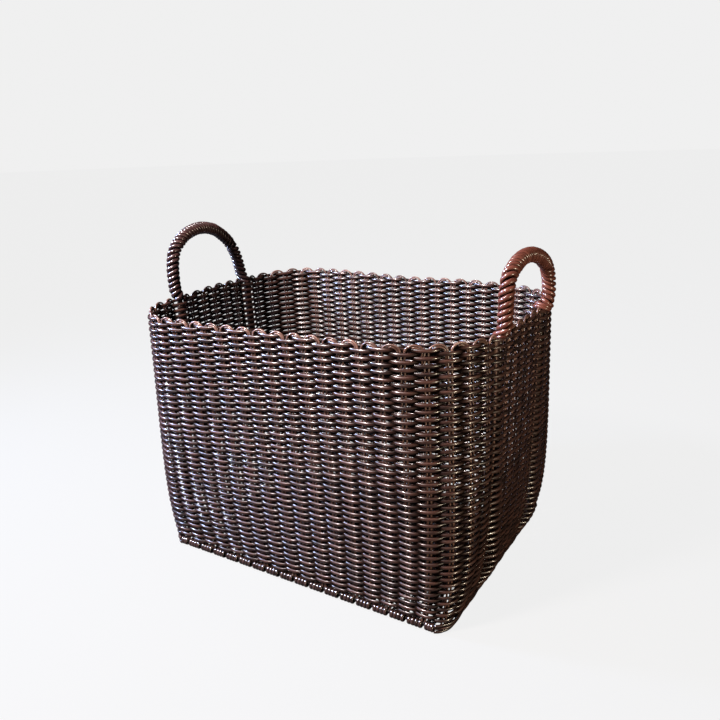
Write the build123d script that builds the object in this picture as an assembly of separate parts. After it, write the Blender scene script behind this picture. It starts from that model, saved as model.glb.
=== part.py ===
import os
from math import cos, pi, sin

from build123d import *

# Wicker log basket. Millimetres, +Z up, origin on the floor under the middle of the basket.
# +X is the basket's right end, -Y its front. The wall is woven round upright stakes.

# Outside sizes of the woven wall
rim_length = 507.0
rim_width = 349.0
base_length = 449.0
base_width = 333.0
weave_top = 348.0
base_corner_radius = 16.0
rim_corner_radius = 88.0
loose_corner_radius = 112.0  # the front right corner is pulled rounder than the other three

# The wall leans out quickly up to the knee, then rises almost straight
knee_height = 75.0
knee_share = 0.69  # of the lean, reached at the knee
knee_corner_share = 0.4  # of the growth of the corner radius, reached at the knee

# Strands
weaver_diameter = 3.9
stake_diameter = 2.5
stake_pair_spacing = 4.1
rib_diameter = 5.0
rib_count = 13
rib_pitch = 23.0
frame_rod_diameter = 6.0
binding_thickness = 3.0
binding_gap = 4.5
weave_clearance = 0.05
leg_clearance = 0.3  # between a handle's wrap and the stakes beside its leg

# Border: each stake is a hairpin whose bend stands above the weave
border_rise = 7.0
border_bend_radius = 8.0
border_bend_share = 0.45  # most of an arch's span that one of its two bends may take
knee_bend_radius = 60.0
least_bend = 0.05  # degrees; a rod's corner that turns less than this is taken as straight

# Stations of the stakes, counted from the middle of a wall to its corner
long_wall_steps = 9
end_wall_inner_steps = 3
end_wall_outer_steps = 3

# Handles
handle_rod_diameter = 10.0
handle_wrap_diameter = 17.5
handle_span = 144.0
left_handle_rise = 100.0  # above the weave
right_handle_rise = 90.0
handle_bend_radius = 62.0
leg_inset = 8.0  # from the outermost edge of the rim to the rod's axis, inside the wall
hoop_inset = 1.5  # the same above the wall, where the legs step outwards
leg_step_height = 14.0
leg_step_radius = 20.0
bend_share_of_run = 0.92  # most of a straight run that a handle's bend may take
leg_end_height = 33.0
leg_margin = 4.0  # least from a leg's swelling to the end of its wall piece

# Values that follow from the sizes above
wall_thickness = 2 * weaver_diameter + stake_diameter
half_wall = wall_thickness / 2
binding_radius = frame_rod_diameter / 2 + binding_thickness
base_height = 2 * binding_radius
leg_reach = handle_span / 2
leg_axis_x = rim_length / 2 - leg_inset
hoop_axis_x = rim_length / 2 - hoop_inset
hoop_foot = weave_top + leg_step_height
sleeve_radius = handle_rod_diameter / 2 + weaver_diameter
leg_side_gap = handle_wrap_diameter / 2 + stake_diameter / 2 + leg_clearance
border_axis_height = weave_top + border_rise - stake_diameter / 2

RIGHT, LEFT = 1, -1
BACK, FRONT = 1, -1
corners = {
    "front_right": (RIGHT, FRONT),
    "back_right": (RIGHT, BACK),
    "back_left": (LEFT, BACK),
    "front_left": (LEFT, FRONT),
}
levels = (base_height, knee_height, weave_top)


def share(z, share_at_knee):
    """Part of the change from base to rim that is reached at height z."""
    if z < knee_height:
        return share_at_knee * z / knee_height
    above = min(z, weave_top) - knee_height
    return share_at_knee + (1 - share_at_knee) * above / (weave_top - knee_height)


def half_length(z):
    return (base_length + (rim_length - base_length) * share(z, knee_share)) / 2


def half_width(z):
    return (base_width + (rim_width - base_width) * share(z, knee_share)) / 2


def corner_radius(z, corner):
    at_rim = loose_corner_radius if corner == corners["front_right"] else rim_corner_radius
    return base_corner_radius + (at_rim - base_corner_radius) * share(z, knee_corner_share)


def corner_shape(z, corner, depth):
    """Arc centre (unsigned) and radius of one corner, on a surface depth inside the outer face."""
    radius = corner_radius(z, corner)
    return half_length(z) - radius, half_width(z) - radius, radius - depth


def on_long_wall(distance, z, corner, depth=half_wall):
    """Point at a distance along the outline from the middle of the front or back wall."""
    straight_x, straight_y, radius = corner_shape(z, corner, depth)
    turn = max(0.0, distance - straight_x) / radius
    x = min(distance, straight_x) + radius * sin(turn)
    y = straight_y + radius * cos(turn)
    return Vector(corner[0] * x, corner[1] * y, z)


def on_end_wall(distance, z, corner, depth=half_wall):
    """Point at a distance along the outline from the middle of the left or right wall."""
    straight_x, straight_y, radius = corner_shape(z, corner, depth)
    turn = max(0.0, distance - straight_y) / radius
    x = straight_x + radius * cos(turn)
    y = min(distance, straight_y) + radius * sin(turn)
    return Vector(corner[0] * x, corner[1] * y, z)


def long_wall_station(step, z, corner):
    """Distance of a stake pair from the middle of a long wall; the last one is the corner pair."""
    straight_x, _, radius = corner_shape(z, corner, half_wall)
    return (straight_x + radius * pi / 4) * step / long_wall_steps


def end_wall_station(step, z, corner):
    """Distance of a stake pair from the middle of an end wall; the handle leg is one station."""
    if step <= end_wall_inner_steps:
        return leg_reach * step / end_wall_inner_steps
    _, straight_y, radius = corner_shape(z, corner, half_wall)
    rest = straight_y + radius * pi / 4 - leg_reach
    return leg_reach + rest * (step - end_wall_inner_steps) / end_wall_outer_steps


def bent_rod(points, radii, diameter):
    """Round rod along straight runs joined by arcs; a corner that doesn't turn is left out."""
    kept = [points[0]]
    bends = []
    for before, here, after, radius in zip(points, points[1:], points[2:], radii):
        if (here - before).get_angle(after - here) > least_bend:
            kept.append(here)
            bends.append(radius)
    kept.append(points[-1])
    path = FilletPolyline(*kept, radius=bends) if bends else Polyline(*kept)
    start = Plane(origin=path @ 0, z_dir=path % 0)
    return sweep(start * Circle(diameter / 2), path=path)


def hairpin(place, station, step, corner, diameter):
    """One stake: up beside one station, over in the border's arch, down beside the next."""
    starts_at_leg = place is on_end_wall and step == end_wall_inner_steps
    ends_at_leg = place is on_end_wall and step + 1 == end_wall_inner_steps
    first_gap = leg_side_gap if starts_at_leg else stake_pair_spacing / 2
    last_gap = leg_side_gap if ends_at_leg else stake_pair_spacing / 2
    up = [place(station(step, z, corner) + first_gap, z, corner) for z in levels]
    down = [place(station(step + 1, z, corner) - last_gap, z, corner) for z in levels]
    up[-1].Z = border_axis_height
    down[-1].Z = border_axis_height
    bend = min(border_bend_radius, border_bend_share * (down[-1] - up[-1]).length)
    return bent_rod(up + down[::-1], [knee_bend_radius, bend, bend, knee_bend_radius], diameter)


def hairpins(diameter):
    """All stakes by node name, as hairpins of the given diameter."""
    groups = {f"{name}_stakes": [] for name in ("front", "back", "left", "right", *corners)}
    for name, corner in corners.items():
        long_node = "front_stakes" if corner[1] == FRONT else "back_stakes"
        end_node = "right_stakes" if corner[0] == RIGHT else "left_stakes"
        for step in range(long_wall_steps):
            node = f"{name}_stakes" if step == long_wall_steps - 1 else long_node
            groups[node].append(hairpin(on_long_wall, long_wall_station, step, corner, diameter))
        end_wall_steps = end_wall_inner_steps + end_wall_outer_steps
        for step in range(end_wall_steps):
            node = f"{name}_stakes" if step == end_wall_steps - 1 else end_node
            groups[node].append(hairpin(on_end_wall, end_wall_station, step, corner, diameter))
    return groups


def outline(z, depth):
    """Face bounded by the wall's outline at height z, on a surface depth inside the outer face."""
    edges = []
    names = list(corners)
    for name, next_name in zip(names, names[1:] + names[:1]):
        corner = corners[name]
        straight_x, _, radius = corner_shape(z, corner, depth)
        turns = (straight_x, straight_x + radius * pi / 4, straight_x + radius * pi / 2)
        bend = [on_long_wall(turn, z, corner, depth) for turn in turns]
        if corner[0] == corner[1]:
            bend.reverse()
        if name == names[0]:
            first = bend[0]
        else:
            edges.append(Line(edges[-1] @ 1, bend[0]))
        edges.append(ThreePointArc(*bend))
        if next_name == names[0]:
            edges.append(Line(edges[-1] @ 1, first))
    return make_face(edges)


def woven_wall():
    """Envelope of the whole woven wall, swelling over the handle legs."""
    outer, inner = (loft([outline(z, depth) for z in levels], ruled=True)
                    for depth in (0, wall_thickness))
    wall = outer - inner
    for side in (LEFT, RIGHT):
        for leg_y in (-leg_reach, leg_reach):
            foot = Pos(side * leg_axis_x, leg_y, leg_end_height)
            swelling = foot * Cylinder(sleeve_radius, weave_top - leg_end_height,
                                       align=(Align.CENTER, Align.CENTER, Align.MIN))
            wall = wall + swelling + foot * Sphere(sleeve_radius)
    return wall


def wall_pieces(wall):
    """The woven wall parted into four walls and four corners by upright planes."""
    middle_x = rim_length / 2 - rim_corner_radius
    middle_y = max(rim_width / 2 - rim_corner_radius, leg_reach + sleeve_radius + leg_margin)
    far = rim_length
    aside = {RIGHT: Align.MIN, LEFT: Align.MAX}
    blocks = {}
    for name, side in (("front", FRONT), ("back", BACK)):
        blocks[name] = Box(2 * middle_x, far, far, align=(Align.CENTER, aside[side], Align.MIN))
    for name, side in (("left", LEFT), ("right", RIGHT)):
        blocks[name] = Box(far, 2 * middle_y, far, align=(aside[side], Align.CENTER, Align.MIN))
    for name, (x_side, y_side) in corners.items():
        block = Box(far, far, far, align=(aside[x_side], aside[y_side], Align.MIN))
        blocks[f"{name}_corner"] = Pos(x_side * middle_x, y_side * middle_y, 0) * block
    return {f"{name}_weave": wall & block for name, block in blocks.items()}


def cut_where_near(panel, cutters):
    """Take each cutter out of the panel if their boxes meet."""
    box = panel.bounding_box()
    near = [cutter for cutter in cutters if box.overlaps(cutter.bounding_box())]
    return panel - near if near else panel


def handle_path(side):
    """Axis of one handle: up a leg, a step outwards above the weave, over, and down again."""
    rise = left_handle_rise if side == LEFT else right_handle_rise
    top = weave_top + rise - handle_wrap_diameter / 2
    half = [(leg_axis_x, leg_end_height), (leg_axis_x, weave_top)]
    half += [(hoop_axis_x, hoop_foot), (hoop_axis_x, top)]
    points = [(side * x, -leg_reach, z) for x, z in half]
    points += [(side * x, leg_reach, z) for x, z in half[::-1]]
    bend = min(handle_bend_radius, bend_share_of_run * (top - hoop_foot), bend_share_of_run * leg_reach)
    step = leg_step_radius
    return FilletPolyline(*points, radius=[step, step, bend, bend, step, step])


def handle_rod(side, diameter):
    path = handle_path(side)
    return sweep(Plane(origin=path @ 0, z_dir=path % 0) * Circle(diameter / 2), path=path)


def handle_wrap(side):
    """Sleeve round the part of the handle rod that stands above the weave."""
    reach = 2 * rim_length
    above = Pos(0, 0, weave_top) * Box(reach, reach, reach, align=(Align.CENTER, Align.CENTER, Align.MIN))
    return (handle_rod(side, handle_wrap_diameter) & above) - handle_rod(side, handle_rod_diameter)


def base_frame():
    """Bent rod round the edge of the base."""
    inset = binding_radius
    ring = RectangleRounded(base_length - 2 * inset, base_width - 2 * inset,
                            base_corner_radius - inset)
    path = Pos(0, 0, binding_radius) * ring.wire()
    start = Plane(origin=path @ 0, z_dir=path % 0)
    return sweep(start * Circle(frame_rod_diameter / 2), path=path)


def base_binding(side):
    """Sleeves of strand wound round the frame rod between the stake pairs of a long wall."""
    y = side * (base_width / 2 - binding_radius)
    straight = base_length / 2 - base_corner_radius
    sleeves = []
    for corner_side in (LEFT, RIGHT):
        corner = (corner_side, side)
        stations = [long_wall_station(step, base_height, corner) for step in range(long_wall_steps)]
        ends = [station - binding_gap / 2 for station in stations[1:]] + [straight]
        for station, end in zip(stations, ends):
            start = station + binding_gap / 2
            section = Circle(binding_radius) - Circle(frame_rod_diameter / 2)
            sleeve = extrude(Plane.YZ * section, end - start)
            place = start if corner_side == RIGHT else -end
            sleeves.append(Pos(place, y, binding_radius) * sleeve)
    return Compound(children=sleeves)


def base_ribs(diameter):
    """Long rods of the base, from one end of the frame to the other."""
    length = base_length - 2 * binding_radius - frame_rod_diameter
    rib = Rot(0, 90, 0) * Cylinder(diameter / 2, length)
    middle = (rib_count - 1) / 2
    return [Pos(0, (i - middle) * rib_pitch, binding_radius) * rib for i in range(rib_count)]


def base_weave():
    """Envelope of the strands of the base, flat underneath, with bores for the ribs."""
    length = base_length - 2 * binding_radius - frame_rod_diameter
    width = base_width - 4 * binding_radius
    radius = base_corner_radius - binding_radius - frame_rod_diameter / 2
    slab = extrude(RectangleRounded(length, width, radius), base_height)
    return slab - base_ribs(rib_diameter + 2 * weave_clearance)


def build():
    nodes = {}
    channels = [rod for group in hairpins(stake_diameter + 2 * weave_clearance).values()
                for rod in group]
    for name, rods in hairpins(stake_diameter).items():
        nodes[name] = Compound(children=rods)

    for name, side in (("left", LEFT), ("right", RIGHT)):
        channels.append(handle_rod(side, handle_rod_diameter + 2 * weave_clearance))
        nodes[f"{name}_handle_core"] = handle_rod(side, handle_rod_diameter)
        nodes[f"{name}_handle_wrap"] = handle_wrap(side)
    for name, piece in wall_pieces(woven_wall()).items():
        nodes[name] = cut_where_near(piece, channels)

    nodes["base_frame"] = base_frame()
    nodes["front_base_binding"] = base_binding(FRONT)
    nodes["back_base_binding"] = base_binding(BACK)
    nodes["base_ribs"] = Compound(children=base_ribs(rib_diameter))
    nodes["base_weave"] = base_weave()
    return nodes


os.makedirs("parts", exist_ok=True)
for node_name, shape in build().items():
    export_step(shape, f"parts/{node_name}.step")
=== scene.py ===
from itertools import pairwise
from math import cos, pi, radians, sin
from random import Random

import bmesh
import bpy
import numpy as np
from mathutils import Matrix, Vector


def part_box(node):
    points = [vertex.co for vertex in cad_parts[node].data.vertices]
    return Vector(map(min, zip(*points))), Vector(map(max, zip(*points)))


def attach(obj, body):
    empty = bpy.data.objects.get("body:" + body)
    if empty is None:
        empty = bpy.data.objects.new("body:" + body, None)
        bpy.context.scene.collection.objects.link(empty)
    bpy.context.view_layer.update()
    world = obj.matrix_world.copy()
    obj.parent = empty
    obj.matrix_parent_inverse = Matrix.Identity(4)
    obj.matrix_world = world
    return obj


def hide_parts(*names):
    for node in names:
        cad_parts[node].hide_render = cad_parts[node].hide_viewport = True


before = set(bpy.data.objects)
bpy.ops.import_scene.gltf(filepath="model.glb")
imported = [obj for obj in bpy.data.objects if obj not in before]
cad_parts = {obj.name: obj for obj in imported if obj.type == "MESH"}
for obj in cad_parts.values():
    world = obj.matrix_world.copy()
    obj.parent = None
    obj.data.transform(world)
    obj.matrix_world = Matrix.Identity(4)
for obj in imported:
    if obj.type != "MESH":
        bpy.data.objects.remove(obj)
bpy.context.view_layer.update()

mm = 0.001


# Camera. It stands in front of the basket's front right corner, a little above the handles,
# and looks down into the basket.
eye = Vector((0.5028, -0.7469, 0.5489))
look_left = 30.84
look_down = 20.41
roll = -1.88
camera_data = bpy.data.cameras.new("camera")
camera_data.lens = 33.5
camera_data.shift_x = -0.0376
camera_data.shift_y = 0.0475
camera = bpy.data.objects.new("camera", camera_data)
camera.matrix_world = (
    Matrix.Translation(eye)
    @ Matrix.Rotation(radians(look_left), 4, "Z")
    @ Matrix.Rotation(radians(90 - look_down), 4, "X")
    @ Matrix.Rotation(radians(roll), 4, "Z")
)
bpy.context.scene.collection.objects.link(camera)
bpy.context.scene.camera = camera


# Studio. A floor and a backdrop that are pale to the camera and dark to the basket. A rosy key
# lamp stands high in front, a bluish one off the left end, and a weak yellow one low off the
# right end. Lamps shine at the middle of the rim. Under the base the floor's glow is left out,
# a painted shadow with a soft edge.
bpy.context.scene.view_settings.view_transform = "Standard"
backdrop_grey = 0.87
floor_grey = 0.85
floor_radius = 30
painted_shadow_half_length = 0.226
painted_shadow_half_width = 0.166
painted_shadow_fade = 0.08
lamp_aim = Vector((0, 0, 0.35))
lamp_width = 0.2


def add_lamp(name, azimuth, elevation, distance, strength, colour):
    """Round soft lamp: azimuth from +X towards +Y, both angles in degrees, distance in metres."""
    lamp = bpy.data.lights.new(name, "AREA")
    lamp.shape = "DISK"
    lamp.size = lamp_width
    lamp.energy = strength * pi * distance ** 2
    lamp.color = colour
    holder = bpy.data.objects.new(name, lamp)
    flat = cos(radians(elevation))
    rise = sin(radians(elevation))
    towards = Vector((flat * cos(radians(azimuth)), flat * sin(radians(azimuth)), rise))
    holder.location = lamp_aim + towards * distance
    holder.rotation_euler = towards.to_track_quat("Z", "Y").to_euler()
    bpy.context.scene.collection.objects.link(holder)


add_lamp("key_lamp", -110, 44, 1.1, 7.2, (1.0, 0.88, 0.86))
add_lamp("side_lamp", -158, 24, 1.3, 7.5, (0.5, 0.64, 1.0))
add_lamp("end_lamp", -14, -7, 1.8, 1.3, (1.0, 0.83, 0.6))

world = bpy.data.worlds.new("studio")
bpy.context.scene.world = world
world.use_nodes = True
world_nodes = world.node_tree.nodes
world_links = world.node_tree.links
ambient = world_nodes["Background"]
ambient.inputs["Color"].default_value = (0.022, 0.019, 0.017, 1)
seen = world_nodes.new("ShaderNodeBackground")
seen.inputs["Color"].default_value = (backdrop_grey, backdrop_grey, backdrop_grey, 1)
path_kind = world_nodes.new("ShaderNodeLightPath")
choose = world_nodes.new("ShaderNodeMixShader")
world_links.new(path_kind.outputs["Is Camera Ray"], choose.inputs["Fac"])
world_links.new(ambient.outputs["Background"], choose.inputs[1])
world_links.new(seen.outputs["Background"], choose.inputs[2])
world_links.new(choose.outputs["Shader"], world_nodes["World Output"].inputs["Surface"])

floor_mesh = bpy.data.meshes.new("floor")
disc = bmesh.new()
bmesh.ops.create_circle(disc, cap_ends=True, segments=96, radius=floor_radius)
disc.to_mesh(floor_mesh)
disc.free()
floor = bpy.data.objects.new("floor", floor_mesh)
bpy.context.scene.collection.objects.link(floor)
floor_paint = bpy.data.materials.new("pale_floor")
floor_paint.use_nodes = True
floor_nodes = floor_paint.node_tree.nodes
floor_links = floor_paint.node_tree.links
floor_shader = floor_nodes["Principled BSDF"]
floor_shader.inputs["Base Color"].default_value = (0.035, 0.035, 0.035, 1)
floor_shader.inputs["Roughness"].default_value = 1.0
floor_shader.inputs["Specular IOR Level"].default_value = 0.0
floor_shader.inputs["Emission Color"].default_value = (1, 1, 1, 1)
floor_seen = floor_nodes.new("ShaderNodeLightPath")
floor_place = floor_nodes.new("ShaderNodeTexCoord")
# Painted shadow: the floor's glow is masked off in an ellipse under the base, with a soft edge.
footprint = floor_nodes.new("ShaderNodeTexGradient")
footprint.gradient_type = "SPHERICAL"
footprint_size = floor_nodes.new("ShaderNodeMapping")
footprint_size.vector_type = "TEXTURE"
footprint_size.inputs["Scale"].default_value = (painted_shadow_half_length, painted_shadow_half_width, 1)
floor_links.new(floor_place.outputs["Object"], footprint_size.inputs["Vector"])
floor_links.new(footprint_size.outputs["Vector"], footprint.inputs["Vector"])
floor_fade = floor_nodes.new("ShaderNodeMapRange")
floor_fade.interpolation_type = "SMOOTHSTEP"
floor_fade.inputs["From Min"].default_value = 0.0
floor_fade.inputs["From Max"].default_value = painted_shadow_fade
floor_fade.inputs["To Min"].default_value = floor_grey
floor_fade.inputs["To Max"].default_value = 0.0
floor_links.new(footprint.outputs["Fac"], floor_fade.inputs["Value"])
floor_glow = floor_nodes.new("ShaderNodeMath")
floor_glow.operation = "MULTIPLY"
floor_links.new(floor_fade.outputs["Result"], floor_glow.inputs[0])
floor_links.new(floor_seen.outputs["Is Camera Ray"], floor_glow.inputs[1])
floor_links.new(floor_glow.outputs["Value"], floor_shader.inputs["Emission Strength"])
floor_mesh.materials.append(floor_paint)


# Base frame and ribs. A bent rod runs round the edge of the base, and straight rods run from end
# to end inside it. They are plain stained rods, and the base strands hold them together.
def stained_rod(name, dark, light):
    """Stained rod that carries no map of its own: streaks stretched along X."""
    paint = bpy.data.materials.new(name)
    paint.use_nodes = True
    nodes = paint.node_tree.nodes
    links = paint.node_tree.links
    shader = nodes["Principled BSDF"]
    place = nodes.new("ShaderNodeTexCoord")
    stretch = nodes.new("ShaderNodeMapping")
    stretch.inputs["Scale"].default_value = (30, 500, 500)
    links.new(place.outputs["Object"], stretch.inputs["Vector"])
    grain = nodes.new("ShaderNodeTexNoise")
    grain.inputs["Scale"].default_value = 1
    grain.inputs["Detail"].default_value = 4
    links.new(stretch.outputs["Vector"], grain.inputs["Vector"])
    colours = nodes.new("ShaderNodeValToRGB")
    colours.color_ramp.elements[0].position = 0.35
    colours.color_ramp.elements[0].color = (*dark, 1)
    colours.color_ramp.elements[1].position = 0.7
    colours.color_ramp.elements[1].color = (*light, 1)
    links.new(grain.outputs["Fac"], colours.inputs["Fac"])
    links.new(colours.outputs["Color"], shader.inputs["Base Color"])
    furrows = nodes.new("ShaderNodeBump")
    furrows.inputs["Strength"].default_value = 0.3
    furrows.inputs["Distance"].default_value = 0.1 * mm
    links.new(grain.outputs["Fac"], furrows.inputs["Height"])
    links.new(furrows.outputs["Normal"], shader.inputs["Normal"])
    shader.inputs["Roughness"].default_value = 0.5
    return paint


frame_paint = stained_rod("stained_frame_rod", (0.008, 0.005, 0.004), (0.022, 0.013, 0.01))
for node in ("base_frame", "base_ribs"):
    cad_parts[node].data.materials.clear()
    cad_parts[node].data.materials.append(frame_paint)


# Stakes and border. Thin round rods in pairs. Each rod comes up beside one station, bends over
# above the weave as one scallop of the border, and goes down beside the next station. Its end
# lies under the second half of the scallop.
rim_half_length, rim_half_width, weave_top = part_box("back_right_corner_weave")[1]
base_half_width = -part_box("front_base_binding")[0].y
base_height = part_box("front_base_binding")[1].z
binding_thickness = 3 * mm
base_half_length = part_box("base_frame")[1].x + binding_thickness
leg_low, leg_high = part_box("right_handle_core")
leg_radius = 5 * mm
leg_y = leg_high.y - leg_radius

# The wall leans out fast near the base and is almost upright at the rim, and its corners get
# rounder as they rise. The stakes stand at sixty stations round it.
base_corner = 16 * mm
rim_corner = 88 * mm
loose_rim_corner = 112 * mm
corner_growth = 0.6
foot_lean = 0.85
foot_lean_power = 6
half_wall = 5.15 * mm
long_wall_steps = 9
inner_end_steps = 3
outer_end_steps = 3

FRONT_RIGHT, BACK_RIGHT, BACK_LEFT, FRONT_LEFT = (1, -1), (1, 1), (-1, 1), (-1, -1)
# The way round the basket from the middle of the front wall, as half walls: the corner each
# belongs to, whether it is an end wall, and whether the way leads towards the corner.
way_round = (
    (FRONT_RIGHT, False, True), (FRONT_RIGHT, True, False),
    (BACK_RIGHT, True, True), (BACK_RIGHT, False, False),
    (BACK_LEFT, False, True), (BACK_LEFT, True, False),
    (FRONT_LEFT, True, True), (FRONT_LEFT, False, False),
)

stake_radius = 1.25 * mm
pair_spacing = 4.1 * mm
leg_side_gap = 10.3 * mm
stake_levels = (5, 12, 20, 30, 42, 56, 75, 100, 135, 180, 230, 285, 343)
arch_steps = 10
arch_top = weave_top + 3.6 * mm
arch_feet = 0.1
arch_double = 2.5 * mm
double_start = 4
double_tail = 16 * mm
double_thickness = 0.92
spring = stake_levels[-1] * mm
# Painted shade deep in the weave: the least share of colour and gloss that is left there.
deepest_painted_shade = 0.04


def lean(z):
    """Share of the way from the base outline to the rim outline that is reached at height z."""
    t = min(1.0, max(0.0, z / weave_top))
    return foot_lean * (1 - (1 - t) ** foot_lean_power) + (1 - foot_lean) * t


def outline(z, corner):
    """Straight half length, straight half width and middle radius of the wall near a corner."""
    share = lean(z)
    half_length = base_half_length + (rim_half_length - base_half_length) * share
    half_width = base_half_width + (rim_half_width - base_half_width) * share
    at_rim = loose_rim_corner if corner == FRONT_RIGHT else rim_corner
    t = min(1.0, max(0.0, z / weave_top))
    radius = base_corner + (at_rim - base_corner) * t ** corner_growth
    return half_length - radius, half_width - radius, radius - half_wall


def on_wall(corner, is_end, distance, z):
    """Place on the middle of the wall, a distance from the middle of a side, and the way out."""
    straight_x, straight_y, radius = outline(z, corner)
    straight = straight_y if is_end else straight_x
    turn = max(0.0, distance - straight) / radius
    ahead, aside = sin(turn), cos(turn)
    out = Vector((aside, ahead, 0)) if is_end else Vector((ahead, aside, 0))
    run = min(distance, straight)
    start = Vector((straight_x, run, 0)) if is_end else Vector((run, straight_y, 0))
    place = start + out * radius
    return (Vector((corner[0] * place.x, corner[1] * place.y, z)),
            Vector((corner[0] * out.x, corner[1] * out.y, 0)))


def marks(corner, is_end, z):
    """Distances of the stations from the middle of a side to the corner pair."""
    straight_x, straight_y, radius = outline(z, corner)
    if not is_end:
        whole = straight_x + radius * pi / 4
        return [whole * i / long_wall_steps for i in range(long_wall_steps + 1)]
    rest = straight_y + radius * pi / 4 - leg_y
    return ([leg_y * i / inner_end_steps for i in range(inner_end_steps)]
            + [leg_y + rest * i / outer_end_steps for i in range(outer_end_steps + 1)])


def spans():
    """Every gap between two stations, in order round the basket."""
    for corner, is_end, outwards in way_round:
        count = inner_end_steps + outer_end_steps if is_end else long_wall_steps
        steps = list(range(count + 1)) if outwards else list(range(count, -1, -1))
        for here, there in pairwise(steps):
            yield corner, is_end, here, there


# The pull of the border lifts the rim in some places and lowers it in others. Each post is a
# station, counted round the basket, and the rise there in mm.
rim_wave = (
    (0, 0.2), (2, 0.8), (4, 1.6), (6, 2), (8, 2), (9, 2), (10, 1.5), (12, 0.5), (15, 1),
    (17, 1.5), (18, -1), (19, 0), (21, 2), (26, 5.5), (30, 3.2), (35, 6.5), (38, 5.5),
    (41, 2), (45, 4), (47, 0.5), (51, -1), (55, -1.5), (60, 0.2),
)


def pulled(place, station):
    """The place moved up or down with the rim: all of the rim's rise at the rim, none below."""
    rise = np.interp(station, *zip(*rim_wave)) * mm
    return Vector((place.x, place.y, place.z + rise * (place.z / weave_top) ** 2))


def lay_strands(name, paths, radius, closed=False, seed=1, sides=8, middles=None,
                depths=(0.6 * mm, 3.4 * mm), variety=0.14):
    """Mesh of round strands, one along each path of (place, swell), with a shade per strand.

    Middles gives the wall's middle and the way out beside each point of the paths, or a rod's
    axis and no way out. The parts of a strand that lie near it get painted shade, standing in
    for the shade deep in the weave: depths gives how far from it the painted shade is deepest
    and from where the strand is left without it.
    """
    curve = bpy.data.curves.new(name, "CURVE")
    curve.dimensions = "3D"
    curve.bevel_depth = radius
    curve.bevel_resolution = (sides - 4) // 2
    for path in paths:
        spline = curve.splines.new("POLY")
        spline.points.add(len(path) - 1)
        spline.points.foreach_set("co", [x for place, _ in path for x in (*place, 1)])
        spline.points.foreach_set("radius", [swell for _, swell in path])
        spline.use_cyclic_u = closed
    holder = bpy.data.objects.new(name, curve)
    mesh = bpy.data.meshes.new_from_object(holder)
    mesh.name = name
    bpy.data.objects.remove(holder)

    draw = Random(seed)
    shades = []
    lengths = []
    starts = []
    for path in paths:
        shades.append(np.full(len(path) * sides, draw.uniform(-variety, variety)))
        ends = list(pairwise([place for place, _ in path]))
        faces = (len(path) if closed else len(path) - 1) * sides
        lengths.append(np.full(faces * 4, sum((b - a).length for a, b in ends)))
        starts.append(np.full(faces * 4, draw.uniform(0, 50)))
    shade = mesh.attributes.new("shade", "FLOAT", "POINT")
    shade.data.foreach_set("value", np.concatenate(shades))
    # Painted shade: a share from near 0 to 1 that darkens the colour and dims the gloss of the parts
    # of a strand near the wall's middle or the rod's axis.
    unshaded = np.ones(len(mesh.vertices))
    if middles:
        middle = np.repeat(np.array([place for place, _ in middles]), sides, axis=0)
        places = np.empty(len(mesh.vertices) * 3)
        mesh.vertices.foreach_get("co", places)
        apart = places.reshape(-1, 3) - middle
        if middles[0][1] is None:
            depth = np.linalg.norm(apart, axis=1)
        else:
            out = np.repeat(np.array([way for _, way in middles]), sides, axis=0)
            depth = np.abs((apart * out)[:, :2].sum(axis=1))
        unshaded = np.clip((depth - depths[0]) / (depths[1] - depths[0]), deepest_painted_shade, 1)
    unshaded_attribute = mesh.attributes.new("unshaded", "FLOAT", "POINT")
    unshaded_attribute.data.foreach_set("value", unshaded)
    layer = mesh.uv_layers["UVMap"]
    uv = np.empty(len(mesh.loops) * 2)
    layer.uv.foreach_get("vector", uv)
    uv = uv.reshape(-1, 2)
    uv[:, 0] = uv[:, 0] * np.concatenate(lengths) + np.concatenate(starts)
    layer.uv.foreach_set("vector", uv.ravel())

    if not closed:
        shell = bmesh.new()
        shell.from_mesh(mesh)
        bmesh.ops.holes_fill(shell, edges=shell.edges, sides=sides)
        shell.to_mesh(mesh)
        shell.free()
    mesh.shade_smooth()
    piece = bpy.data.objects.new(name, mesh)
    bpy.context.scene.collection.objects.link(piece)
    return piece


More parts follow.
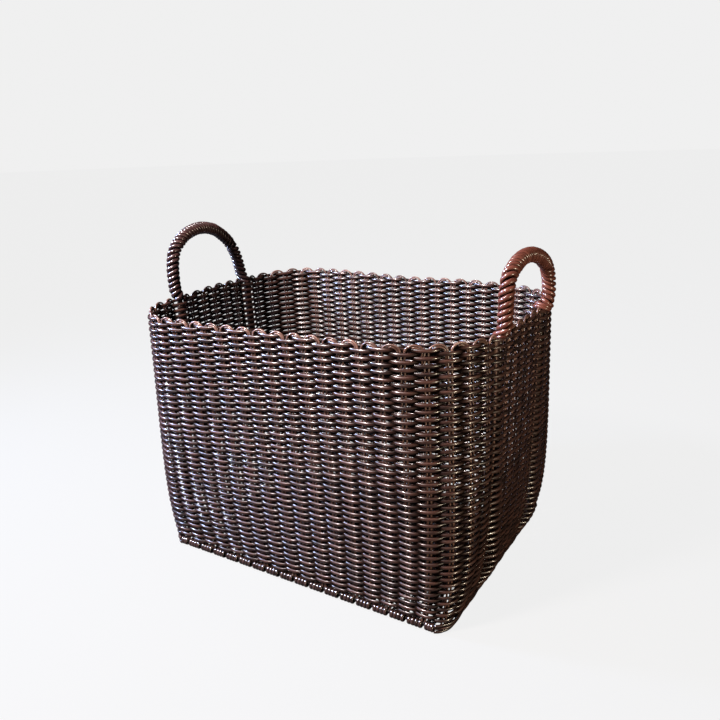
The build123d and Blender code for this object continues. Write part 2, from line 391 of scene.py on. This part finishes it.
def cane(name, dark, light, roughness, coat):
    """Stained and lacquered cane: streaks along the strand and a shade of its own per strand.

    A second attribute is painted shade: it is 1 on the outside of the weave, where the cane
    shows its own colour and full lacquer, and falls to near 0 deep in the weave, where the
    colour and the gloss are darkened as painted shade.
    """
    paint = bpy.data.materials.new(name)
    paint.use_nodes = True
    nodes = paint.node_tree.nodes
    links = paint.node_tree.links
    shader = nodes["Principled BSDF"]

    along = nodes.new("ShaderNodeUVMap")
    along.uv_map = "UVMap"
    stretch = nodes.new("ShaderNodeMapping")
    stretch.inputs["Scale"].default_value = (55, 9, 1)
    links.new(along.outputs["UV"], stretch.inputs["Vector"])
    grain = nodes.new("ShaderNodeTexNoise")
    grain.inputs["Scale"].default_value = 1
    grain.inputs["Detail"].default_value = 3
    grain.inputs["Roughness"].default_value = 0.65
    links.new(stretch.outputs["Vector"], grain.inputs["Vector"])

    strand = nodes.new("ShaderNodeAttribute")
    strand.attribute_name = "shade"
    together = nodes.new("ShaderNodeMath")
    together.operation = "ADD"
    links.new(grain.outputs["Fac"], together.inputs[0])
    links.new(strand.outputs["Fac"], together.inputs[1])
    colours = nodes.new("ShaderNodeValToRGB")
    colours.color_ramp.elements[0].position = 0.3
    colours.color_ramp.elements[0].color = (*dark, 1)
    colours.color_ramp.elements[1].position = 0.8
    colours.color_ramp.elements[1].color = (*light, 1)
    links.new(together.outputs["Value"], colours.inputs["Fac"])
    # Painted shade: the cane's colour is multiplied by that share.
    hidden = nodes.new("ShaderNodeAttribute")
    hidden.attribute_name = "unshaded"
    painted_shade = nodes.new("ShaderNodeMix")
    painted_shade.data_type = "RGBA"
    painted_shade.blend_type = "MULTIPLY"
    painted_shade.inputs["Factor"].default_value = 1
    # A Mix node's colours are its sockets 6 and 7, and its result is socket 2.
    links.new(colours.outputs["Color"], painted_shade.inputs[6])
    links.new(hidden.outputs["Fac"], painted_shade.inputs[7])
    links.new(painted_shade.outputs[2], shader.inputs["Base Color"])
    # Painted shade on the gloss: coat and specular level are dimmed by the same share.
    gloss = nodes.new("ShaderNodeMath")
    gloss.operation = "MULTIPLY"
    gloss.inputs[1].default_value = coat
    links.new(hidden.outputs["Fac"], gloss.inputs[0])
    links.new(gloss.outputs["Value"], shader.inputs["Coat Weight"])
    links.new(gloss.outputs["Value"], shader.inputs["Specular IOR Level"])

    polish = nodes.new("ShaderNodeMapRange")
    polish.inputs["From Min"].default_value = 0.3
    polish.inputs["From Max"].default_value = 0.7
    polish.inputs["To Min"].default_value = roughness - 0.07
    polish.inputs["To Max"].default_value = roughness + 0.12
    links.new(grain.outputs["Fac"], polish.inputs["Value"])
    links.new(polish.outputs["Result"], shader.inputs["Roughness"])

    furrows = nodes.new("ShaderNodeBump")
    furrows.inputs["Strength"].default_value = 0.35
    furrows.inputs["Distance"].default_value = 0.15 * mm
    links.new(grain.outputs["Fac"], furrows.inputs["Height"])
    links.new(furrows.outputs["Normal"], shader.inputs["Normal"])
    shader.inputs["Coat Roughness"].default_value = 0.14
    return paint


def finish_piece(piece, paint, nodes):
    """Paint a piece of the basket, hang it on the root body, and hide the nodes of the frame it
    stands for.
    """
    piece.data.materials.clear()
    piece.data.materials.append(paint)
    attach(piece, "root")
    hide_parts(*nodes)


def station_gap(is_end, step):
    """From a station to the rod beside it: half a pair, or more where a handle leg stands."""
    return leg_side_gap if is_end and step == inner_end_steps else pair_spacing / 2


def rod_distance(corner, is_end, here, there, z):
    """Distance along the wall of the rod beside station here, on the side of station there."""
    place = marks(corner, is_end, z)[here]
    return place + station_gap(is_end, here) * (1 if there > here else -1)


def arch_point(corner, is_end, left, right, turn, inset):
    """Place on a scallop, on its outer rod or an inset inside it; turn runs from 0 to pi."""
    middle = (left + right) / 2
    half = (right - left) / 2
    distance = middle - half * cos(turn) * (1 - inset / abs(half))
    place, _ = on_wall(corner, is_end, distance, spring)
    place.z = spring + (arch_top - spring - inset) * sin(turn)
    return place


stakes = []
for index, (corner, is_end, here, there) in enumerate(spans()):
    rods = []
    for first, second, foot in ((here, there, arch_feet), (there, here, 1 - arch_feet)):
        rod = [
            on_wall(corner, is_end, rod_distance(corner, is_end, first, second, z * mm), z * mm)[0]
            for z in stake_levels
        ]
        rods.append([pulled(place, index + foot) for place in rod])
    left = rod_distance(corner, is_end, here, there, spring)
    right = rod_distance(corner, is_end, there, here, spring)
    outer, inner = [], []
    for i in range(1, arch_steps):
        turn = pi * i / arch_steps
        station = index + 0.5 - (0.5 - arch_feet) * cos(turn)
        outer.append(pulled(arch_point(corner, is_end, left, right, turn, 0), station))
        inner.append(pulled(arch_point(corner, is_end, left, right, turn, arch_double), station))
    stakes.append([(place, 1.0) for place in rods[0] + outer + rods[1][::-1]])
    tail = arch_point(corner, is_end, left, right, pi, arch_double)
    tail = pulled(tail, index + 1 - arch_feet)
    inner += [tail, tail - Vector((0, 0, double_tail))]
    stakes.append([(place, double_thickness) for place in inner[double_start - 1:]])

stake_paint = cane("stake_cane", (0.07, 0.032, 0.024), (0.36, 0.2, 0.15), 0.34, 0.6)
stake_nodes = [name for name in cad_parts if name.endswith("_stakes")]
finish_piece(lay_strands("stakes_and_border", stakes, stake_radius, seed=11),
             stake_paint, stake_nodes)


# Handle rods. One stout bent rod on each end. Its two legs are pared thin at the foot and stand
# in the wall between the two rods of a pair, so the rows bulge round them.
leg_x = leg_low.x + leg_radius
leg_levels = (14, 20, 28, 36, 46, 56, 70, 120, 200, 280, 340)
leg_taper_low = 16 * mm
leg_taper_height = 46 * mm
leg_foot_share = 0.25
leg_gain_share = 0.73
hoop_share = 0.6
wrap_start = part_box("right_handle_wrap")[0].z
hoop_x = leg_high.x - leg_radius + 0.5 * mm
hoop_splay = 1 * mm
hoop_splay_height = 90 * mm
hoop_step_drop = 4 * mm
hoop_step_height = 18 * mm
# Each hoop was bent by hand: posts on its axis, from its front leg (y from the middle of the end
# wall, rise above the start of the lapping), in mm.
hoop_posts = {
    1: ((-72, 0), (-73.5, 14), (-73.5, 28), (-72.5, 48.5), (-67, 64), (-51.5, 73), (-28.5, 79),
        (2.5, 78.5), (36.5, 70), (62, 56), (75, 39), (79, 22), (77.5, 9), (74, 0)),
    -1: ((-71, 0), (-71, 13), (-71, 26), (-69, 47), (-62, 67), (-44.5, 83.5), (-24, 91.5),
         (-3, 93.5), (21, 88), (42.5, 73.5), (55, 58.5), (63, 42), (67.5, 25), (70, 10), (72, 0)),
}
hoop_parts = 160
post_parts = 20
core_parts = 60
side_corners = {1: (FRONT_RIGHT, BACK_RIGHT), -1: (FRONT_LEFT, BACK_LEFT)}


def ease(f, flat=0.1):
    """Smooth share from 0 to 1 for f from 0 to 1, level over the flat part at each end."""
    t = min(1.0, max(0.0, (f - flat) / (1 - 2 * flat)))
    return (1 - cos(pi * t)) / 2


def leg_share(z):
    """How far the wall has taken up a handle leg at height z: none at its foot, all above."""
    return min(1.0, max(0.0, (z - leg_taper_low) / leg_taper_height))


def leg_axis(corner, z):
    """Axis of a handle leg inside the wall."""
    place, _ = on_wall(corner, True, leg_y, z)
    reach = abs(place.x) + (leg_x - abs(place.x)) * leg_share(z)
    return Vector((corner[0] * reach, corner[1] * leg_y, z))


def smooth_line(posts, count):
    """Evenly spaced points on a smooth line through the posts (Catmull-Rom)."""
    posts = np.array(posts, dtype=float) * mm
    ends = np.vstack([2 * posts[0] - posts[1], posts, 2 * posts[-1] - posts[-2]])
    line = []
    for before, here, there, after in zip(ends, ends[1:], ends[2:], ends[3:]):
        for t in np.arange(post_parts) / post_parts:
            line.append((2 * here + (there - before) * t
                         + (2 * before - 5 * here + 4 * there - after) * t ** 2
                         + (3 * here - 3 * there + after - before) * t ** 3) / 2)
    line.append(posts[-1])
    line = np.array(line)
    travel = np.concatenate([[0], np.cumsum(np.linalg.norm(np.diff(line, axis=0), axis=1))])
    even = np.linspace(0, travel[-1], count + 1)
    return travel[-1], np.column_stack([np.interp(even, travel, line[:, k]) for k in (0, 1)])


hoop_lines = {side: smooth_line(posts, hoop_parts) for side, posts in hoop_posts.items()}
hoop_length = {side: length for side, (length, _) in hoop_lines.items()}


def hoop(travel, side):
    """Place and outward direction on a hoop, a travel from its foot at the front of the rim."""
    length, line = hoop_lines[side]
    at = min(max(travel / length, 0), 1) * hoop_parts
    y, rise = (np.interp(at, np.arange(hoop_parts + 1), line[:, k]) for k in (0, 1))
    first = min(int(at), hoop_parts - 1)
    along = line[first + 1] - line[first]
    out = Vector((0, -along[1], along[0])).normalized()
    stepped = ease((rise + hoop_step_drop) / hoop_step_height, 0)
    reach = leg_x + (hoop_x - leg_x) * stepped + hoop_splay * rise / hoop_splay_height
    return Vector((side * reach, y, wrap_start + rise)), out


rods = []
for side, (front, back) in side_corners.items():
    legs = []
    for corner in (front, back):
        legs.append([
            (leg_axis(corner, z * mm), leg_foot_share + leg_gain_share * leg_share(z * mm))
            for z in leg_levels
        ])
    travels = [hoop_length[side] * i / core_parts for i in range(core_parts + 1)]
    over = [(hoop(travel, side)[0], hoop_share) for travel in travels]
    rods.append(legs[0] + over + legs[1][::-1])
rod_paint = cane("handle_rod", (0.015, 0.008, 0.006), (0.05, 0.028, 0.02), 0.45, 0.2)
finish_piece(lay_strands("handle_rods", rods, leg_radius, seed=12, sides=12),
             rod_paint, ["left_handle_core", "right_handle_core"])


# Wall rows. Eighty rows of one round cane strand, worked in front of one station and behind the
# next, each row the other way round from the one below it, and pressed down tight.
row_count = 80
row_radius = 1.65 * mm
row_height_share = 1.38
points_per_span = 8
pair_squeeze = 0.3 * mm
leg_squeeze = 0.1 * mm
pair_swing = stake_radius + row_radius - pair_squeeze
leg_swing = leg_radius + row_radius - leg_squeeze
row_low = base_height + 5 * mm
row_high = weave_top - 2 * mm
row_rise = 0.07 * mm
row_swelling = 0.012
row_looseness = 0.05 * mm
rows_per_piece = 16
first_row_seed = 1000


def wave(draw, size):
    """Slow unevenness round the basket, as a function of the part of the way round."""
    parts = [(draw.uniform(0.3, 1), k, draw.uniform(0, 2 * pi)) for k in (2, 5, 11, 23)]
    return lambda s: size * sum(a * sin(2 * pi * k * s + p) for a, k, p in parts)


def row_path(row, z):
    """One closed row at height z, and the middle of the wall beside it."""
    draw = Random(first_row_seed + row)
    rise = wave(draw, row_rise)
    swelling = wave(draw, row_swelling)
    loose = wave(draw, row_looseness)
    share = leg_share(z)
    path = []
    middles = []
    gaps = list(spans())
    for index, (corner, is_end, here, there) in enumerate(gaps):
        places = marks(corner, is_end, z)
        swings = []
        shifts = []
        for station, step in ((index, here), (index + 1, there)):
            at_leg = is_end and step == inner_end_steps
            size = pair_swing + (leg_swing - pair_swing) * share * at_leg
            swings.append(size if (station + row) % 2 else -size)
            middle = on_wall(corner, is_end, places[step], z)[0]
            shifts.append((leg_x - abs(middle.x)) * share if at_leg else 0.0)
        for i in range(points_per_span):
            f = i / points_per_span
            part = (index + f) / len(gaps)
            distance = places[here] + (places[there] - places[here]) * f
            place, out = on_wall(corner, is_end, distance, z)
            h = ease(f)
            swing = swings[0] * (1 - h) + swings[1] * h
            shift = shifts[0] * (1 - h) + shifts[1] * h
            middles.append((place + out * shift, out))
            place = place + out * (swing + shift + loose(part))
            place = pulled(place, index + f)
            place.z = (place.z + rise(part)) / row_height_share
            path.append((place, 1 + swelling(part)))
    return path, middles


row_paint = cane("wall_cane", (0.014, 0.0065, 0.005), (0.12, 0.052, 0.038), 0.32, 0.9)
weave_nodes = [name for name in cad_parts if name.endswith("_weave") and name != "base_weave"]
row_pitch = (row_high - row_low) / (row_count - 1)
for first in range(0, row_count, rows_per_piece):
    paths = [row_path(k, row_low + row_pitch * k) for k in range(first, first + rows_per_piece)]
    # The sides of the strands that face the middle of the wall get painted shade.
    piece = lay_strands(f"wall_rows_{first // rows_per_piece + 1}", [path for path, _ in paths],
                        row_radius, closed=True, seed=100 + first,
                        middles=[middle for _, row in paths for middle in row])
    piece.data.transform(Matrix.Scale(row_height_share, 4, (0, 0, 1)))
    finish_piece(piece, row_paint, weave_nodes)


# Foot rows. Three short rows round each end and its two corners cover the rod of the base frame
# down to the floor; the long sides are covered by the turns of the base strands instead.
foot_levels = (2.6, 6.7, 10.7)
foot_start = 208.5 * mm
foot_proud = 3.3 * mm
foot_step = 4 * mm
foot_height_share = 1.2
foot_ripple = 0.7 * mm
foot_ripple_half = 24 * mm
paths = []
for side, (front, back) in side_corners.items():
    for number, level in enumerate(foot_levels):
        z = level * mm
        path = []
        for corner, order in ((front, 1), (back, -1)):
            half = []
            corner_distance = marks(corner, False, z)[-1]
            distance = foot_start
            while distance < corner_distance:
                half.append(on_wall(corner, False, distance, z))
                distance += foot_step / 2
            distance = marks(corner, True, z)[-1]
            while distance > 0:
                half.append(on_wall(corner, True, distance, z))
                distance -= foot_step
            path += half[::order]
        weft = []
        for i, (place, out) in enumerate(path):
            ripple = foot_ripple * cos(pi * i * foot_step / foot_ripple_half + pi * number)
            place = place + out * (foot_proud + ripple)
            place.z /= foot_height_share
            weft.append((place, 1.0))
        paths.append(weft)
foot = lay_strands("foot_rows", paths, row_radius, seed=31)
foot.data.transform(Matrix.Scale(foot_height_share, 4, (0, 0, 1)))
finish_piece(foot, row_paint, ["base_weave"])


# Base strands. Flat strands run from front to back, over and under the ribs in turn, and each
# turns right round the front and the back rod of the base frame.
rib_low, rib_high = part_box("base_ribs")
rib_count = 13
rib_radius = 2.5 * mm
rib_pitch = (rib_high.y - rib_low.y - 2 * rib_radius) / (rib_count - 1)
rod_outset = 1.6 * mm
rod_y = base_half_width - base_height / 2 + rod_outset
rod_radius = 3 * mm
strand_half_thickness = 1.45 * mm
strand_width = 4.75 * mm
strand_width_share = strand_width / (2 * strand_half_thickness)
strands_per_gap = 4
strands_at_end = 3
binding_gap = 4.5 * mm
base_middle = base_height / 2
turn_end = 335
turn_top = 90
turn_steps = 14
rib_steps = 6


def base_strand(x, phase):
    """Path of one base strand from its end under the front rod to its end under the back rod."""
    around = rod_radius + strand_half_thickness
    over = rib_radius + strand_half_thickness
    first = 1 if phase else -1
    last = first if rib_count % 2 else -first
    turn_step = (turn_end - turn_top) / turn_steps
    turns = [radians(turn_top + turn_step * i) for i in range(turn_steps + 1)]
    line = [(around * cos(turn) - rod_y, first * around * sin(turn)) for turn in turns[::-1]]
    posts = [(-rod_y, first * around)]
    for rib in range(rib_count):
        side = -first if rib % 2 == 0 else first
        posts.append(((rib - (rib_count - 1) / 2) * rib_pitch, over * side))
    posts.append((rod_y, last * around))
    for (y0, z0), (y1, z1) in pairwise(posts):
        for i in range(1, rib_steps + 1):
            h = ease(i / rib_steps, 0.05)
            line.append((y0 + (y1 - y0) * i / rib_steps, z0 * (1 - h) + z1 * h))
    line += [(rod_y - around * cos(turn), last * around * sin(turn)) for turn in turns[1:]]
    return [Vector((x, y, base_middle + rise)) for y, rise in line]


def strand_places():
    """Where the base strands lie along the basket: a group in each gap between two stations."""
    whole = marks(FRONT_LEFT, False, base_height)
    found = []
    for step in range(long_wall_steps):
        at_end = step + 1 == long_wall_steps
        start = whole[step] + binding_gap / 2
        end = foot_start if at_end else whole[step + 1] - binding_gap / 2
        count = strands_at_end if at_end else strands_per_gap
        found += [start + (end - start) * (i + 0.5) / count for i in range(count)]
    return sorted([-x for x in found] + found)


base_paint = cane("base_cane", (0.02, 0.01, 0.008), (0.09, 0.045, 0.038), 0.24, 1.0)
paths = []
for number, x in enumerate(strand_places()):
    path = base_strand(x / strand_width_share, number % 2)
    paths.append([(place, 1.0) for place in path])
base = lay_strands("base_strands", paths, strand_half_thickness, seed=41)
base.data.transform(Matrix.Scale(strand_width_share, 4, (1, 0, 0)))
finish_piece(base, base_paint,
             ["base_weave", "front_base_binding", "back_base_binding"])


# Handle lapping. Three strands are wound side by side round each hoop from its front leg, and
# three more the other way from its back leg; the ends of the first dive under the others. The
# right hoop's strands are painted redder and lighter than the left hoop's, and the right hoop
# has a collar of loose turns round the foot of its back leg. Near each hoop's axis, in the
# grooves between the strands, the strands get painted shade.
wrap_radius = 8.75 * mm
lap_count = 3
lap_lead = 21.6 * mm
lap_radius = 3 * mm
lap_proud = 0.4 * mm
crown_narrowing = 0.22
crown_start = 48 * mm
crown_turns = 2
lap_step = 1.1 * mm
lap_back_length = 62 * mm
lap_meet = {side: length - lap_back_length for side, length in hoop_length.items()}
lap_play = 0.04
# How far from the hoop's axis the painted shade in the grooves is deepest and where it ends.
lap_depths = (6.6 * mm, 8.6 * mm)
tuck = 9 * mm
tuck_depth = 2.4 * mm
lap_swelling = 0.03
collar_turns = 2.4
collar_rise = 9.5 * mm
collar_drop = 3 * mm
collar_axis = 9.3 * mm
collar_tilt = 1.6 * mm
collar_share = 0.8
collar_parts = 24


def lap_path(side, start, end, hand, phase, draw):
    """Strand wound round a hoop between two travels, and the hoop's axis beside it.

    Hand is 1 for the strands from the front leg, which are tucked under at their end, and -1 for
    the strands from the back leg, which turn the other way.
    """
    swelling = wave(draw, lap_swelling)
    path = []
    axis = []
    steps = round((end - start) / lap_step)
    for i in range(steps + 1):
        travel = start + (end - start) * i / steps
        place, out = hoop(max(0.0, travel), side)
        crown = ease((travel - crown_start) / (hoop_length[side] - 2 * crown_start), 0.15)
        turn = phase + hand * 2 * pi * (travel / lap_lead + crown_turns * crown)
        sunk = max(0.0, travel - (lap_meet[side] - tuck / 2)) / tuck if hand == 1 else 0.0
        narrow = 1 - crown_narrowing * sin(pi * crown)
        reach = lap_proud + wrap_radius - lap_radius * narrow - tuck_depth * min(1.0, sunk)
        around = out * cos(turn) + Vector((1, 0, 0)) * sin(turn)
        swell = narrow + swelling(travel / hoop_length[side])
        path.append((place + around * reach, swell))
        axis.append((place, None))
    return path, axis


def collar_path(side):
    """Tilted turns round the foot of a hoop's back leg, where the ends of strand are bound."""
    path = []
    axis = []
    steps = round(collar_turns * collar_parts)
    for i in range(steps + 1):
        turn = 2 * pi * i / collar_parts
        travel = hoop_length[side] - collar_rise * i / steps + collar_drop
        place, out = hoop(travel, side)
        shown = min(i, steps - i, 4) / 4
        around = out * cos(turn) + Vector((side, 0, 0)) * sin(turn)
        reach = collar_axis - (1 - shown) * collar_drop
        path.append((place + around * reach - Vector((0, 0, collar_tilt * sin(turn))), collar_share))
        axis.append((place, None))
    return path, axis


red_lap_paint = cane("handle_cane", (0.08, 0.024, 0.016), (0.3, 0.1, 0.068), 0.3, 0.6)
dark_lap_paint = cane("dark_handle_cane", (0.022, 0.01, 0.01), (0.12, 0.055, 0.052), 0.3, 0.8)
for side, name, lap_paint in ((1, "right", red_lap_paint), (-1, "left", dark_lap_paint)):
    draw = Random(70 + side)
    paths = []
    for k in range(lap_count):
        phase = 2 * pi * (k + draw.uniform(-lap_play, lap_play)) / lap_count
        paths.append(lap_path(side, 0.0, lap_meet[side] + tuck / 2, 1, phase, draw))
        paths.append(lap_path(side, lap_meet[side], hoop_length[side], -1, phase, draw))
    if side == 1:
        paths.append(collar_path(side))
    # Painted shade on the strands near the hoop's axis, in the grooves between them.
    lapping = lay_strands(f"{name}_handle_lapping", [path for path, _ in paths], lap_radius,
                          seed=50 + side, middles=[point for _, axis in paths for point in axis],
                          depths=lap_depths, variety=0.05)
    finish_piece(lapping, lap_paint, [f"{name}_handle_wrap"])
